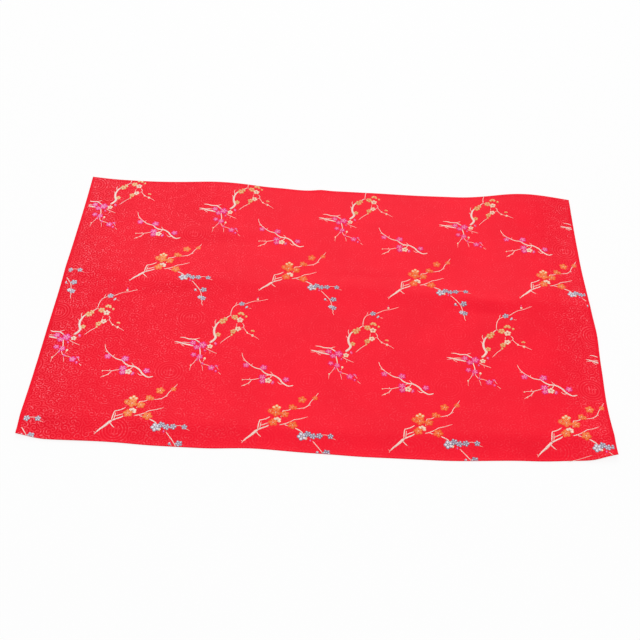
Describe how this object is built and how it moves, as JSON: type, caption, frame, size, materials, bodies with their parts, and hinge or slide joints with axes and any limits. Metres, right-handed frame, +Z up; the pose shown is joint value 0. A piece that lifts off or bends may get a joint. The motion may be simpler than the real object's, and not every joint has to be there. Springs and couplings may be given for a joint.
{
  "type": "satin fabric sheet",
  "caption": "Rectangular sheet of red satin brocade with small woven blossom sprays, lying almost flat with a soft pressed fold along its middle.",
  "frame": {"origin": "middle of the cloth's box, on the floor it lies on", "axes": "+X along the long side, +Y from the front edge to the back edge, +Z up out of the face of the cloth"},
  "size_m": [0.7544, 0.5152, 0.0127],
  "materials": {
    "satin_brocade": "satin weave, soft sheen"
  },
  "bodies": {
    "root": {"satin_sheet": "satin_brocade"}
  },
  "joints": []
}
